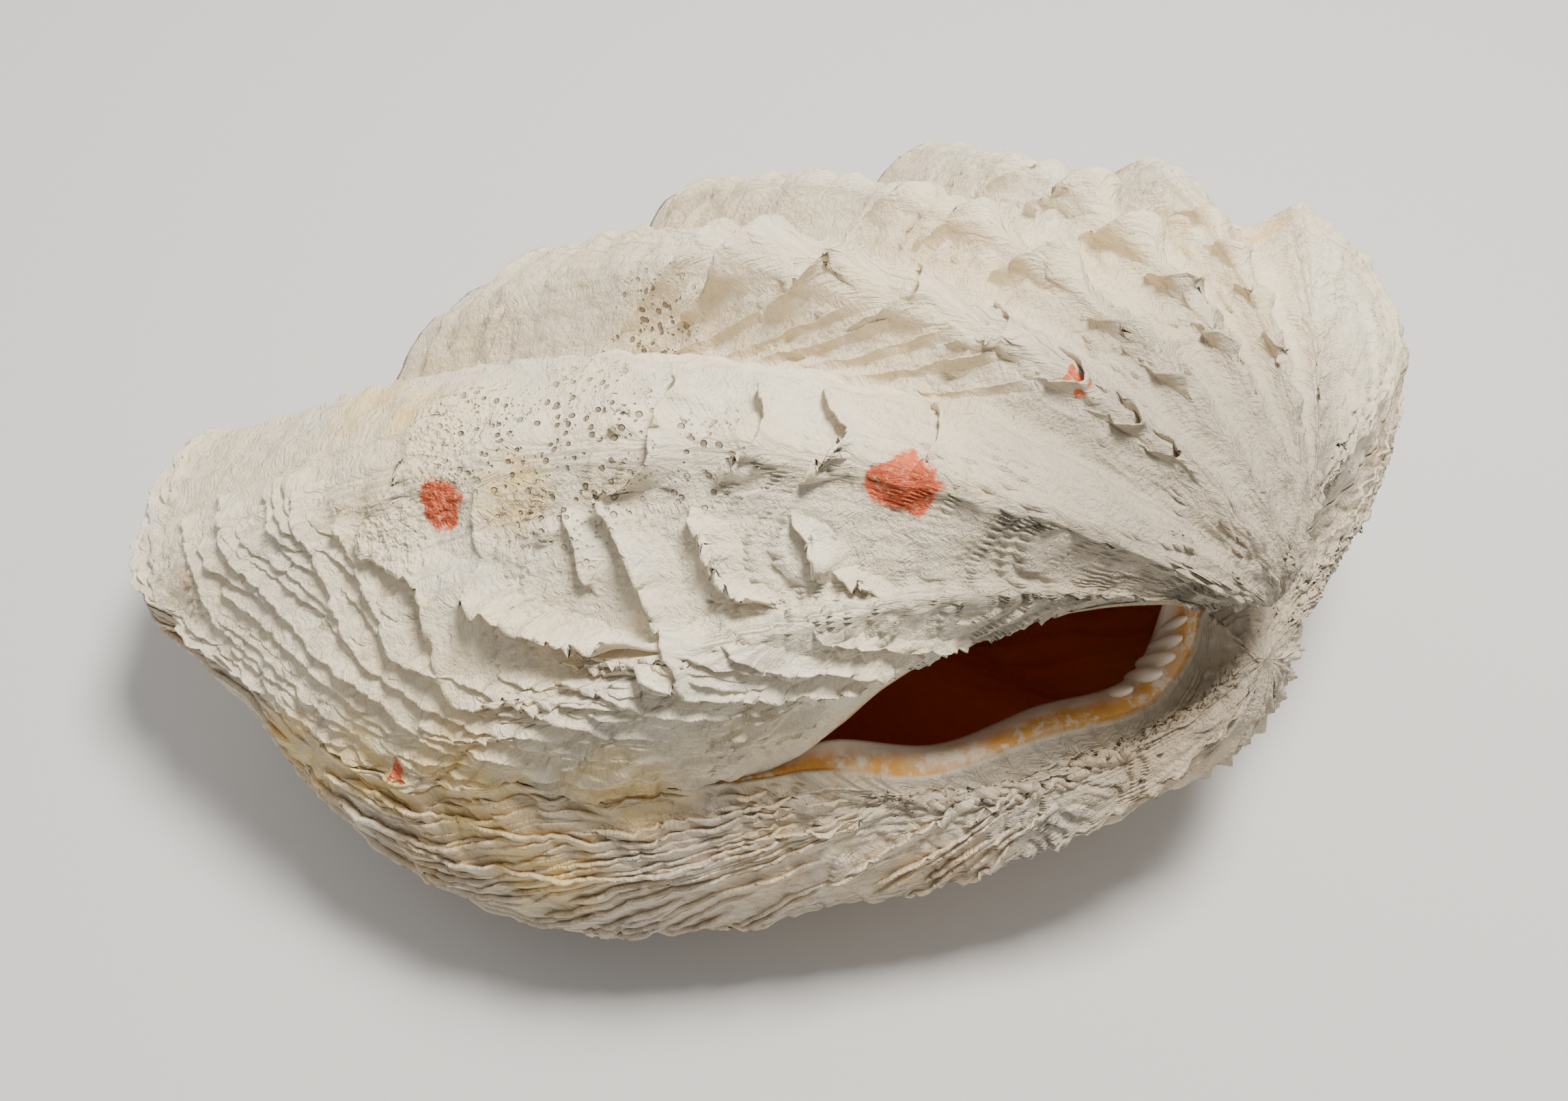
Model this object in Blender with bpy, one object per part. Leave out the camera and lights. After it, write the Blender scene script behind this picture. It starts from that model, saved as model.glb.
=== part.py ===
"""Giant clam shell, both valves closed on each other and lying on the lower valve.

Each valve is built the way it grew. Its free edge, the margin, is one closed loop through the
hinge. A growth line is that loop made smaller, in the proportion s, and turned about the hinge
line, so s runs from 0 at the umbo, the oldest point, to 1 at the margin. The margin's folds make
the ribs, which run from the umbo to the margin.

Shell frame: the hinge at the origin, X along the hinge towards the shell's back end, Y from the
hinge towards the ribbed edge, Z up. The shell is then turned and tilted to the way it lies.
Lengths in the tables are in millimetres, and the model is in metres.
"""

import bmesh
import bpy
import numpy as np
from mathutils import Matrix, Vector
from mathutils.bvhtree import BVHTree

MM = 0.001

# The margin, station by station round the loop. X, Y and Z place it, wall is how far the upper
# and the lower valve stand up behind it, swell is how far they bulge out past it, and rim is how
# thick their edges are.
#              X     Y    Z   wall     swell   rim
HINGE = [
    ("hinge",    0,    0,   0,   0,  0,   0,  0,   9,  9),
]
# Beside the hinge the two valves part and leave the gape, so each has its own lip there.
UPPER_LIP = [
    ("lip_1",  -10,    1,   8,   6,  6,   2,  4,   8, 10),
    ("lip_2",  -26,    7,  15,   9,  9,   3,  6,   7, 10),
    ("lip_3",  -46,   17,  17,  12, 12,   4,  8,   6, 10),
    ("lip_4",  -67,   25,  12,  15, 15,   5,  9,   6, 10),
    ("lip_5",  -87,   32,   1,  18, 20,   6, 10,   6,  9),
]
LOWER_LIP = [
    ("lip_1",   -6,   -2,  -8,   6,  6,   2,  2,   8, 10),
    ("lip_2",  -20,   -2, -14,   9,  9,   3,  3,   7, 10),
    ("lip_3",  -41,    9, -15,  12, 10,   4,  4,   6, 10),
    ("lip_4",  -65,   18, -13,  15, 11,   5,  5,   6, 10),
    ("lip_5",  -88,   30,   0,  18, 14,   6,  6,   6,  9),
]
EDGE = [
    ("front",     -108,  45,   0,  22, 17,   8, 12,   6, 8),
    ("rib_1",     -130,  66,   3,  22, 30,   8, 18,   6, 8),
    ("furrow_1",  -146,  92,  -3,  14, 40,   6, 24,   5, 7),
    ("rib_2_low", -154, 114,   2,  12, 46,   4, 26,   5, 6),
    ("rib_2_mid", -157, 140,   7,  10, 42,   2, 24,   4, 5),
    ("rib_2",     -160, 172,  10,   2, 30,   2, 14,   4, 4),
    ("rib_2_top", -130, 203,  12, -11, 18,   2,  4,   4, 4),
    ("furrow_2",   -95, 200, -11, -12, 10,   2,  2,   4, 4),
    ("rib_3",      -62, 196,  12,   0, 10,   2,  2,   4, 4),
    ("rib_3_top",  -38, 200,   8,   0, 10,   2,  2,   4, 4),
    ("furrow_3",   -20, 194, -11,  -4,  8,   2,  2,   4, 4),
    ("rib_4",       10, 188,  13,  -4,  8,   2,  2,   4, 4),
    ("furrow_4",    40, 172, -11,  -4,  8,   2,  2,   4, 4),
    ("rib_5",       65, 152,  13,  -2,  8,   2,  2,   4, 4),
    ("furrow_5",    85, 128, -11,   0,  8,   2,  2,   4, 4),
    ("rib_6",       97, 104,  11,   4, 10,   2,  2,   4, 4),
    ("furrow_6",   106,  83,  -8,   6, 10,   2,  2,   4, 4),
    ("rib_7",      108,  62,   6,  10, 14,   2,  3,   5, 5),
    ("back_end",    94,  23,   0,  14, 16,   3,  4,   6, 6),
    ("back_edge",   59,   4,   0,  12, 14,   3,  4,   7, 7),
    ("back_near",   26,  -1,   0,   8, 10,   2,  2,   8, 8),
]
MARGIN = {"upper": HINGE + UPPER_LIP + EDGE, "lower": HINGE + LOWER_LIP + EDGE}
WALL = {"upper": 3, "lower": 4}     # the columns' numbers, counted from X
SWELL = {"upper": 5, "lower": 6}
RIM = {"upper": 7, "lower": 8}
SIDE = {"upper": 1.0, "lower": -1.0}

# The growth rule
TURN = np.radians(195.0)      # how far a growth line is turned at the umbo
TURN_RATE = 0.38              # how much of the turn comes early in growth
TURN_SOFTNESS = 1.2           # how level the shell leaves its margin
FOLD_LEAN = 0.3               # how far the folds turn with the growth line
SHOULDER = {"upper": 0.45, "lower": 0.24}    # how much height the shell's ends get for their distance
UMBO = np.array([3.0, -13.0, 9.0]) * MM
UMBO_DRIFT = 1.5              # how early the growth lines leave the hinge for the umbo
WALL_POWER = {"upper": (1.0, 6.0), "lower": (2.0, 5.0)}
SWELL_POWER = 5.0
SWELL_GAIN = 1.6

EDGE_LIFT = 2.5 * MM          # how much the blunt margin stands up at once
EDGE_LIFT_POWER = 30.0

# The inside, a dome of smaller and smaller loops round the middle of the shell's plan
MIDDLE = np.array([-30.0, 90.0]) * MM
HEART = np.array([-12.0, 52.0]) * MM    # the point that the margin's thickness is measured towards
WALL_DEEP = 11.0 * MM         # the wall's thickness away from the margin
LIP_POWER = 12.0              # how steeply the inside rises from the margin
FOLD_FADE = 3.0               # how soon the margin's folds fade inwards
INNER_LOOPS = (1.0, 0.96, 0.90, 0.82, 0.72, 0.60, 0.47, 0.33, 0.17)

# How the shell lies
YAW = np.radians(41.0)
TILT = np.radians(-12.0)
HINGE_PLACE = np.array([89.42, -53.44, 76.6]) * MM
JOINT_GAP = 0.6 * MM          # the line of daylight between the two valves
WORN = 0.0                    # the lowest ribs are worn flat to this height

# Mesh density
COLUMNS = 96
OUTER_ROWS = 14
ROW_CROWDING = 1.15           # how much closer the rows lie near the margin

MATERIALS = {
    "upper": ("shell_cream", (0.66, 0.60, 0.50, 1.0), 0.78),
    "lower": ("shell_tan", (0.60, 0.52, 0.41, 1.0), 0.80),
}


def clear_scene():
    for item in list(bpy.data.objects):
        bpy.data.objects.remove(item, do_unlink=True)


def station_places():
    """The stations' places round the loop, from 0 to 1, by their distance along it."""
    points = np.array([row[1:3] for row in MARGIN["upper"]], float)
    steps = np.linalg.norm(np.roll(points, -1, axis=0) - points, axis=1)
    return np.concatenate([[0.0], np.cumsum(steps)[:-1]]) / steps.sum()


def margin(u, valve):
    """All the station columns at places u, in millimetres, by a smooth curve.

    The curve is level in height on the ribs and in the furrows, so it doesn't overshoot them.
    """
    knots = station_places()
    values = np.array([row[1:] for row in MARGIN[valve]], float)
    knots = np.concatenate([knots - 1.0, knots, knots + 1.0])
    values = np.vstack([values, values, values])
    slopes = np.zeros_like(values)
    slopes[1:-1] = (values[2:] - values[:-2]) / (knots[2:] - knots[:-2])[:, None]
    height = values[:, 2]
    slopes[1:-1, 2][(height[2:] - height[1:-1]) * (height[1:-1] - height[:-2]) <= 0] = 0.0
    u = np.mod(u, 1.0)
    i = np.searchsorted(knots, u, side="right") - 1
    span = (knots[i + 1] - knots[i])[:, None]
    t = (u - knots[i])[:, None] / span
    return ((2 * t**3 - 3 * t**2 + 1) * values[i] + (t**3 - 2 * t**2 + t) * span * slopes[i]
            + (3 * t**2 - 2 * t**3) * values[i + 1] + (t**3 - t**2) * span * slopes[i + 1])


def outward(u, valve):
    """The direction straight out of the loop at places u, in the margin's plane."""
    nudge = 0.001
    along = margin(u + nudge, valve)[:, :2] - margin(u - nudge, valve)[:, :2]
    along /= np.linalg.norm(along, axis=1)[:, None]
    return np.stack([-along[:, 1], along[:, 0]], axis=1)


def outer_line(u, s, valve):
    """The valve's outside along growth line s, in the shell frame."""
    side = SIDE[valve]
    table = margin(u, valve) * MM
    x, y, z = table[:, 0], table[:, 1], table[:, 2]
    wall = table[:, WALL[valve]]
    swell = table[:, SWELL[valve]]
    angle = TURN * (1 - s**TURN_RATE) ** TURN_SOFTNESS
    shoulder = np.hypot(np.maximum(y, 0), SHOULDER[valve] * x) - np.maximum(y, 0)
    near, far = WALL_POWER[valve]
    rise = s * np.sin(angle) * (y + shoulder) + wall * s**near * (1 - s**far)
    rise += EDGE_LIFT * s * (1 - s**EDGE_LIFT_POWER)
    line = np.stack([s * x,
                     s * (y * np.cos(angle) - side * z * np.sin(angle) * FOLD_LEAN),
                     s * z * np.cos(angle) + side * rise], axis=1)
    bulge = swell * SWELL_GAIN * s * (1 - s**SWELL_POWER)
    line[:, :2] += bulge[:, None] * outward(u, valve)
    return line + (1 - s) ** UMBO_DRIFT * UMBO * np.array([1.0, 1.0, side])


def inner_margin(u, valve):
    """The inner edge of the valve's margin, its thickness in from the outer one."""
    table = margin(u, valve) * MM
    edge = table[:, :3].copy()
    inward = HEART - edge[:, :2]
    edge[:, :2] += inward * (table[:, RIM[valve]] / np.linalg.norm(inward, axis=1))[:, None]
    return edge


def inner_loops(u, valve, outer_rings):
    """The loops of the valve's inside, each point a wall's thickness short of the outside above it."""
    side = SIDE[valve]
    count = len(u)
    quads = []
    for row in range(len(outer_rings) - 1):
        for k in range(count):
            a, b = row * count + k, row * count + (k + 1) % count
            quads.append((a, b, b + count, a + count))
    outside = BVHTree.FromPolygons(np.vstack(outer_rings).tolist(), quads)
    edge = inner_margin(u, valve)
    loops = []
    for share in INNER_LOOPS + (0.0,):
        loop = edge.copy()
        loop[:, :2] = MIDDLE + (edge[:, :2] - MIDDLE) * share
        loop[:, 2] *= share**FOLD_FADE
        for point in loop:
            hit = outside.ray_cast(Vector(point), Vector((0.0, 0.0, side)))[3] or 0.0
            point[2] += side * hit * hit / (hit + WALL_DEEP) * (1 - share**LIP_POWER)
        loops.append(loop)
    return loops[:-1], loops[-1][:1]


def resting(points, valve):
    """From the shell frame to the way the shell lies, with the two valves parted by the joint gap."""
    points = points + np.array([0.0, 0.0, SIDE[valve] * JOINT_GAP / 2])
    turn = Matrix.Rotation(YAW, 3, "Z") @ Matrix.Rotation(TILT, 3, "X")
    placed = points @ np.array(turn).T + HINGE_PLACE
    placed[:, 2] = np.maximum(placed[:, 2], WORN)
    return placed


def valve_rings(valve):
    """The closed rings of one valve, from beside the umbo over the margin to the middle of the inside."""
    u = np.arange(COLUMNS) / COLUMNS
    rings = []
    for i in range(1, OUTER_ROWS + 1):
        rings.append(outer_line(u, 1 - (1 - i / OUTER_ROWS) ** ROW_CROWDING, valve))
    loops, middle = inner_loops(u, valve, rings)
    return outer_line(u[:1], 0.0, valve), rings + loops, middle


def build_valve(valve):
    umbo, rings, middle = valve_rings(valve)
    bm = bmesh.new()
    first = bm.verts.new(Vector(resting(umbo, valve)[0]))
    loops = [[bm.verts.new(Vector(p)) for p in resting(ring, valve)] for ring in rings]
    last = bm.verts.new(Vector(resting(middle, valve)[0]))
    for k in range(COLUMNS):
        n = (k + 1) % COLUMNS
        bm.faces.new((first, loops[0][k], loops[0][n]))
        bm.faces.new((last, loops[-1][n], loops[-1][k]))
        for a, b in zip(loops, loops[1:]):
            bm.faces.new((a[k], b[k], b[n], a[n]))
    bmesh.ops.triangulate(bm, faces=bm.faces[:], quad_method="SHORT_EDGE")
    bmesh.ops.recalc_face_normals(bm, faces=bm.faces[:])

    mesh = bpy.data.meshes.new(valve + "_valve")
    bm.to_mesh(mesh)
    bm.free()
    mesh.shade_smooth()
    piece = bpy.data.objects.new(valve + "_valve", mesh)
    bpy.context.scene.collection.objects.link(piece)
    mesh.materials.append(shell_material(*MATERIALS[valve]))
    return piece


def shell_material(name, colour, roughness):
    material = bpy.data.materials.new(name)
    material.use_nodes = True
    shader = material.node_tree.nodes["Principled BSDF"]
    shader.inputs["Base Color"].default_value = colour
    shader.inputs["Roughness"].default_value = roughness
    shader.inputs["Metallic"].default_value = 0.0
    return material


def main():
    clear_scene()
    for valve in ("upper", "lower"):
        build_valve(valve)


main()
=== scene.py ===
"""Giant clam shell, both valves closed on each other and lying on the lower valve.

Each valve's surface follows its growth: u is the place round the margin, from 0 at the hinge over
the gape, the front and the ribbed edge back to 1, and s is the growth stage, from 0 at the umbo to
1 at the margin. Ledges and scales are plates that leave the surface along such a path of places.
Lengths in tables are in millimetres.
"""

import bpy
import numpy as np
from mathutils import Matrix, Vector, noise
from mathutils.bvhtree import BVHTree


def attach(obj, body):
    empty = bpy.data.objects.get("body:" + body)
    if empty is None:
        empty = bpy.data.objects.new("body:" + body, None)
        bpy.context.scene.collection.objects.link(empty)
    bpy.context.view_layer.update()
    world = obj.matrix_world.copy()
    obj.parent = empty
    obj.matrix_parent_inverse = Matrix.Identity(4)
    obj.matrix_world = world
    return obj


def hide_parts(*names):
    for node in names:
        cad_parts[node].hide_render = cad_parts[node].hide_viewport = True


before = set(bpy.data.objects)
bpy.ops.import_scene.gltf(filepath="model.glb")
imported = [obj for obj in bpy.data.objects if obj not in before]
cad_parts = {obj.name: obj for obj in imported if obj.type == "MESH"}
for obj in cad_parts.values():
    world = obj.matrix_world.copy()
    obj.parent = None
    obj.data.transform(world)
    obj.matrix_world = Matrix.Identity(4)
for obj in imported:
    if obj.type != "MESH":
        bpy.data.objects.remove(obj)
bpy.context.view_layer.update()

bpy.ops.object.select_all(action="DESELECT")

MM = 0.001
SIDE = {"upper": 1.0, "lower": -1.0}

# The growth rule, the same as the solid valves have.
#  X, Y, Z, wall of the upper and lower valve, swell of each, rim of each
HINGE = [(0, 0, 0, 0, 0, 0, 0, 9, 9)]
UPPER_LIP = [
    (-10, 1, 8, 6, 6, 2, 4, 8, 10), (-26, 7, 15, 9, 9, 3, 6, 7, 10), (-46, 17, 17, 12, 12, 4, 8, 6, 10),
    (-67, 25, 12, 15, 15, 5, 9, 6, 10), (-87, 32, 1, 18, 20, 6, 10, 6, 9),
]
LOWER_LIP = [
    (-6, -2, -8, 6, 6, 2, 2, 8, 10), (-20, -2, -14, 9, 9, 3, 3, 7, 10), (-41, 9, -15, 12, 10, 4, 4, 6, 10),
    (-65, 18, -13, 15, 11, 5, 5, 6, 10), (-88, 30, 0, 18, 14, 6, 6, 6, 9),
]
EDGE = [
    (-108, 45, 0, 22, 17, 8, 12, 6, 8),(-130, 66, 3, 22, 30, 8, 18, 6, 8), (-146, 92, -3, 14, 40, 6, 24, 5, 7),
    (-154, 114, 2, 12, 46, 4, 26, 5, 6), (-157, 140, 7, 10, 42, 2, 24, 4, 5), (-160, 172, 10, 2, 30, 2, 14, 4, 4),
    (-130, 203, 12, -11, 18, 2, 4, 4, 4), (-95, 200, -11, -12, 10, 2, 2, 4, 4),(-62, 196, 12, 0, 10, 2, 2, 4, 4),
    (-38, 200, 8, 0, 10, 2, 2, 4, 4), (-20, 194, -11, -4, 8, 2, 2, 4, 4), (10, 188, 13, -4, 8, 2, 2, 4, 4),
    (40, 172, -11, -4, 8, 2, 2, 4, 4), (65, 152, 13, -2, 8, 2, 2, 4, 4), (85, 128, -11, 0, 8, 2, 2, 4, 4),
    (97, 104, 11, 4, 10, 2, 2, 4, 4), (106, 83, -8, 6, 10, 2, 2, 4, 4), (108, 62, 6, 10, 14, 2, 3, 5, 5),
    (94, 23, 0, 14, 16, 3, 4, 6, 6), (59, 4, 0, 12, 14, 3, 4, 7, 7), (26, -1, 0, 8, 10, 2, 2, 8, 8),
]
STATIONS = {
    "upper": np.array(HINGE + UPPER_LIP + EDGE, float),
    "lower": np.array(HINGE + LOWER_LIP + EDGE, float),
}
WALL = {"upper": 3, "lower": 4}
SWELL = {"upper": 5, "lower": 6}
RIM = {"upper": 7, "lower": 8}
TURN = np.radians(195.0)
TURN_RATE = 0.38
TURN_SOFTNESS = 1.2
FOLD_LEAN = 0.3
SHOULDER = {"upper": 0.45, "lower": 0.24}
UMBO = np.array([3.0, -13.0, 9.0]) * MM
UMBO_DRIFT = 1.5
WALL_POWER = {"upper": (1.0, 6.0), "lower": (2.0, 5.0)}
SWELL_POWER = 5.0
SWELL_GAIN = 1.6
EDGE_LIFT = 2.5 * MM
EDGE_LIFT_POWER = 30.0
MIDDLE = np.array([-30.0, 90.0]) * MM
HEART = np.array([-12.0, 52.0]) * MM
WALL_DEEP = 11.0 * MM
LIP_POWER = 12.0
FOLD_FADE = 3.0
YAW = np.radians(41.0)
TILT = np.radians(-12.0)
HINGE_PLACE = np.array([89.42, -53.44, 76.6]) * MM
JOINT_GAP = 0.6 * MM
TOP = 130.6 * MM
TOP_SHARE = 0.6

# Mesh density
COLUMNS = 600
ROWS = 146
INNER_SHARES = (0.97, 0.93, 0.88, 0.82, 0.74, 0.65, 0.54, 0.42, 0.30, 0.17, 0.08)
RIM_SHARES = (0.12, 0.3, 0.5, 0.7, 0.88, 1.0)
LEDGE_STEP = 1.1 * MM

GAPE_END = 0.120              # where round the margin the gape ends


def smooth(value, low, high):
    t = np.clip((value - low) / (high - low), 0.0, 1.0)
    return t * t * (3 - 2 * t)


def station_places():
    points = STATIONS["upper"][:, :2]
    steps = np.linalg.norm(np.roll(points, -1, axis=0) - points, axis=1)
    return np.concatenate([[0.0], np.cumsum(steps)[:-1]]) / steps.sum()


def margin(u, valve):
    knots = station_places()
    values = STATIONS[valve]
    knots = np.concatenate([knots - 1.0, knots, knots + 1.0])
    values = np.vstack([values, values, values])
    slopes = np.zeros_like(values)
    slopes[1:-1] = (values[2:] - values[:-2]) / (knots[2:] - knots[:-2])[:, None]
    height = values[:, 2]
    slopes[1:-1, 2][(height[2:] - height[1:-1]) * (height[1:-1] - height[:-2]) <= 0] = 0.0
    u = np.mod(u, 1.0)
    i = np.searchsorted(knots, u, side="right") - 1
    span = (knots[i + 1] - knots[i])[:, None]
    t = (u - knots[i])[:, None] / span
    return ((2 * t**3 - 3 * t**2 + 1) * values[i] + (t**3 - 2 * t**2 + t) * span * slopes[i]
            + (3 * t**2 - 2 * t**3) * values[i + 1] + (t**3 - t**2) * span * slopes[i + 1])


def outward(u, valve):
    along = margin(u + 0.001, valve)[:, :2] - margin(u - 0.001, valve)[:, :2]
    along /= np.linalg.norm(along, axis=1)[:, None]
    return np.stack([-along[:, 1], along[:, 0]], axis=1)


def outer_line(u, s, valve):
    side = SIDE[valve]
    table = margin(u, valve) * MM
    x, y, z = table[:, 0], table[:, 1], table[:, 2]
    angle = TURN * (1 - s**TURN_RATE) ** TURN_SOFTNESS
    shoulder = np.hypot(np.maximum(y, 0), SHOULDER[valve] * x) - np.maximum(y, 0)
    near, far = WALL_POWER[valve]
    rise = s * np.sin(angle) * (y + shoulder) + table[:, WALL[valve]] * s**near * (1 - s**far)
    rise += EDGE_LIFT * s * (1 - s**EDGE_LIFT_POWER)
    line = np.stack([s * x,
                     s * (y * np.cos(angle) - side * z * np.sin(angle) * FOLD_LEAN),
                     s * z * np.cos(angle) + side * rise], axis=1)
    bulge = table[:, SWELL[valve]] * SWELL_GAIN * s * (1 - s**SWELL_POWER)
    line[:, :2] += bulge[:, None] * outward(u, valve)
    return line + (1 - s) ** UMBO_DRIFT * UMBO * np.array([1.0, 1.0, side])


def resting(points, valve):
    points = points + np.array([0.0, 0.0, SIDE[valve] * JOINT_GAP / 2])
    turn = Matrix.Rotation(YAW, 3, "Z") @ Matrix.Rotation(TILT, 3, "X")
    placed = points @ np.array(turn).T + HINGE_PLACE
    placed[..., 2] = np.maximum(under_top(placed[..., 2]), 0.0)
    return placed


def under_top(height):
    """The height, with what stands above the solid valve's top drawn in."""
    return np.minimum(height, TOP) + np.maximum(height - TOP, 0.0) * TOP_SHARE


def rough(points, size, octaves=3, seed=0.0):
    """Fractal noise, about -1 to 1, at points in metres, with features of the size in mm."""
    flat = (points.reshape(-1, 3) / (size * MM)) + seed
    values = [noise.fractal(p, 1.0, 2.0, octaves) for p in flat.tolist()]
    return np.array(values).reshape(points.shape[:-1])


class Surface:
    """The displaced outside of one valve, as a grid of growth rows and margin columns."""

    def __init__(self, valve):
        self.valve = valve
        self.u = np.arange(COLUMNS) / COLUMNS
        fine = np.linspace(0.0, 1.0, 500) ** 1.2
        path = np.array([outer_line(self.u[::30], s, valve) for s in fine])
        length = np.concatenate([[0.0], np.cumsum(np.linalg.norm(np.diff(path, axis=0), axis=2).mean(axis=1))])
        self.length = length[-1]
        self.s = np.interp(np.linspace(0.0, length[-1], ROWS + 1), length, fine)
        self.s[0] = 0.0
        shell = np.array([outer_line(self.u, s, valve) for s in self.s])
        self.measure(shell)
        self.relief = relief(self)
        self.ragged = ragged_edge(self)
        shell = shell + self.normal * self.relief[..., None] + self.ragged
        self.shell = shell
        self.point = resting(shell, valve)
        self.measure(self.point)

    def measure(self, grid):
        """Normals and growth directions of the grid."""
        along = np.roll(grid, -1, axis=1) - np.roll(grid, 1, axis=1)
        growth = np.gradient(grid, axis=0)
        self.speed = np.linalg.norm(np.gradient(grid, self.s, axis=0), axis=2)
        normal = np.cross(along, growth) * SIDE[self.valve]
        normal /= np.linalg.norm(normal, axis=2)[..., None] + 1e-12
        if (normal[ROWS // 2:, :, 2] * SIDE[self.valve]).mean() < 0:
            normal = -normal
        self.normal = normal
        self.growth = growth / (np.linalg.norm(growth, axis=2)[..., None] + 1e-12)
        steps = np.linalg.norm(np.diff(grid, axis=0), axis=2)
        self.run = np.concatenate([np.zeros((1, grid.shape[1])), np.cumsum(steps, axis=0)])

    def at(self, field, u, s):
        """The field's value at places u and growth stages s."""
        i = np.interp(s, self.s, np.arange(len(self.s)))
        i0 = np.minimum(i.astype(int), len(self.s) - 2)
        a = i - i0
        k = np.mod(u, 1.0) * COLUMNS
        k0 = np.floor(k).astype(int)
        b = k - k0
        k0, k1 = k0 % COLUMNS, (k0 + 1) % COLUMNS
        if field.ndim == 3:
            a, b = a[..., None], b[..., None]
        return ((field[i0, k0] * (1 - b) + field[i0, k1] * b) * (1 - a)
                + (field[i0 + 1, k0] * (1 - b) + field[i0 + 1, k1] * b) * a)


RIB_CRESTS = {
    "upper": (0.197, 0.345, 0.505, 0.596, 0.680, 0.757, 0.815),
    "lower": (0.237, 0.449, 0.550, 0.636, 0.720, 0.786),
}
LAYER_EDGE_U = [0.20, 0.221, 0.244, 0.262, 0.285, 0.305, 0.313, 0.324, 0.337, 0.356, 0.371, 0.387, 0.41]
LAYER_EDGE_S = [1.20, 0.815, 0.849, 0.814, 0.776, 0.793, 0.782, 0.752, 0.707, 0.681, 0.667, 0.656, 1.20]


def relief(surface):
    """How far the surface stands out from the plain growth shape, in metres."""
    valve = surface.valve
    u = np.broadcast_to(surface.u, surface.run.shape)
    s = np.broadcast_to(surface.s[:, None], surface.run.shape)
    run = surface.run / MM
    around = u * 900.0
    flow = np.stack([run * 0.4, around * 0.07, np.full_like(run, 3.0 if valve == "upper" else 40.0)], axis=-1)
    drift = np.array([noise.fractal(p, 1.0, 2.0, 2) for p in (flow.reshape(-1, 3) * 0.16).tolist()]).reshape(run.shape)
    place = resting(surface_base(surface), valve)
    chalk = rough(place, 7.0, 4, 5.0)
    broad = rough(place, 26.0, 2, 9.0)
    lobe = np.zeros_like(run)
    if valve == "upper":
        edge = np.interp(u, LAYER_EDGE_U, LAYER_EDGE_S, left=1.2, right=1.2)
        lobe = smooth(s, edge, edge + 0.02)

    # growth steps: each stands out at its free edge and ends in a small drop
    phase = run / 7.5 + drift * 2.2
    step = (phase - np.floor(phase)) ** 1.6
    strength = 0.5 + 0.9 * smooth(broad, -0.25, 0.4)
    height = (step - 0.4) * strength * (1 - 0.45 * lobe)
    fine = run / 2.7 + drift * 4.0
    height += (np.abs(np.mod(fine, 1.0) - 0.5) - 0.25) * 0.5 * smooth(0.45 - s, 0.0, 0.15)
    close = run / 4.1 + drift * 2.6
    height += ((close - np.floor(close)) ** 1.5 - 0.4) * (0.35 + 0.75 * lobe)

    # cords that fan from the umbo beside the gape, beaded by the growth lines
    beside = smooth(0.165 - u, 0.0, 0.05) + smooth(u, 0.86, 0.92)
    cord = np.cos(2 * np.pi * u * (150 if valve == "upper" else 130) + drift)
    bead = 0.5 + 0.5 * np.cos(2 * np.pi * (run / 3.4 + np.floor(u * 150) * 0.5))
    beads = 0.55 * cord + 1.5 * smooth(cord, -0.2, 1.0) * bead
    if valve == "upper":
        beads *= smooth(1.0 - s, 0.06, 0.30)
    height += beside * beads * smooth(s, 0.08, 0.34) * (0.2 if valve == "upper" else 0.6)

    # nodules on the ribs near the umbo
    crest = np.max([np.exp(-((u - place_of) / 0.016) ** 2) for place_of in RIB_CRESTS[valve]], axis=0)
    early = smooth(0.5 - s, 0.0, 0.2) * smooth(s, 0.02, 0.08)
    node = np.mod(run / 7.6 + drift * 0.4 + 6 * (crest - 1) ** 2 * 0.1, 1.0)
    height += 2.7 * crest * early * (node**1.7) * smooth(1.0 - node, 0.0, 0.16)

    height += chalk * (0.75 - 0.35 * lobe) + broad * 0.9 - 0.6
    height *= 1 - 0.85 * smooth(0.135 - u, 0.0, 0.02) * smooth(s, 0.84, 0.97)
    return height * MM * smooth(s, 0.0, 0.05) * smooth(1.0 - s, 0.0, 0.015)


def surface_base(surface):
    return np.array([outer_line(surface.u, s, surface.valve) for s in surface.s])


def ragged_edge(surface):
    """The margin's small chips, the same on both valves, so that they still meet."""
    ring = np.stack([np.cos(surface.u * 2 * np.pi), np.sin(surface.u * 2 * np.pi), np.zeros(COLUMNS)], axis=1)
    chips = np.array([noise.fractal(p, 0.8, 2.0, 5) for p in (ring * 14.0).tolist()])
    chips *= 1.6 * MM * smooth(surface.u, GAPE_END, GAPE_END + 0.03)
    offset = np.zeros(surface.run.shape + (3,))
    grow = surface.s[:, None] ** 12
    offset[..., :2] = (grow * chips)[..., None] * outward(surface.u, surface.valve)[None]
    return offset


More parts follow.
